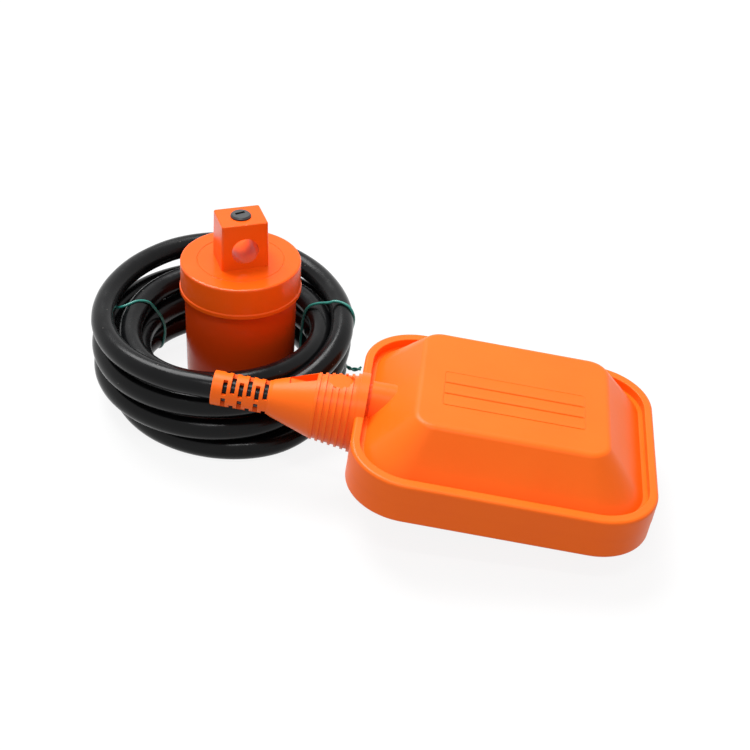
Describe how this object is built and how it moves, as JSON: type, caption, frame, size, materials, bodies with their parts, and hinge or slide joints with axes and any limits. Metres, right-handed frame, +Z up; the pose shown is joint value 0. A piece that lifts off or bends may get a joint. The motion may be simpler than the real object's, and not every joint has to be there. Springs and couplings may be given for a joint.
{
  "type": "float level switch",
  "caption": "Tilting float level switch: a moulded hollow float with a ribbed neck and strain relief, a coiled rubber cable, and a round counterweight that clamps on the cable.",
  "frame": {"origin": "centre of the counterweight's flat base, on the floor that the whole part lies on", "axes": "+X in plan along the float from its neck to its far end, +Z up"},
  "size_m": [0.2114, 0.1453, 0.0751],
  "materials": {
    "float_orange": "satin moulded",
    "weight_orange": "semi-gloss moulded",
    "cable_black": "satin rubber sheath",
    "tie_green": "coated wire",
    "screw_black": "satin moulded",
    "grommet": "matte",
    "inner_grey": "natural moulded",
    "switch_black": "moulded",
    "plunger_red": "moulded",
    "lever_steel": "bright",
    "ball_steel": "polished",
    "terminal_brass": "tinned",
    "core_brown": "smooth",
    "core_blue": "smooth",
    "core_black": "smooth",
    "ballast_iron": "as cast"
  },
  "bodies": {
    "switch": {"float_shell_top": "float_orange", "float_shell_bottom": "float_orange", "neck_moulding": "float_orange", "seal_grommet": "grommet", "cord_clamp": "inner_grey", "capsule_base": "inner_grey", "capsule_lid": "inner_grey", "switch_case": "switch_black", "lever_pin": "lever_steel", "switch_pins": "lever_steel", "terminals": "terminal_brass", "core_common": "core_brown", "core_closed": "core_blue", "core_open": "core_black", "weight_body": "weight_orange", "ballast_slug": "ballast_iron", "weight_cap": "weight_orange", "cable_lead": "cable_black", "cable_coil": "cable_black", "tie_left": "tie_green", "tie_right": "tie_green", "bare_core_1": "core_brown", "bare_core_2": "core_blue", "bare_core_3": "core_black"},
    "ball": {"steel_ball": "ball_steel"},
    "lever": {"switch_lever": "lever_steel"},
    "plunger": {"switch_plunger": "plunger_red"},
    "screw": {"clamp_screw": "screw_black"}
  },
  "joints": [
    {"name": "ball_roll", "type": "slide", "parent": "switch", "child": "ball", "axis": [0.9945, 0, -0.1045], "range_m": [-0.0363, 0]},
    {"name": "lever_swing", "type": "hinge", "parent": "switch", "child": "lever", "pos_m": [0.09579, -0.0529, 0.02743], "axis": [0, 1, 0], "range_deg": [0, 6.02]},
    {"name": "plunger_press", "type": "slide", "parent": "switch", "child": "plunger", "axis": [0.1045, 0, 0.9945], "range_m": [0, 0.00079]},
    {"name": "clamp_screw_feed", "type": "slide", "parent": "switch", "child": "screw", "axis": [0, 0, 1], "range_m": [-0.004, 0.003]}
  ],
  "couplings": [
    {"joint": "lever_swing", "follows": "ball_roll", "rad_per_m": -2.8848},
    {"joint": "plunger_press", "follows": "ball_roll", "ratio": -0.0216}
  ]
}
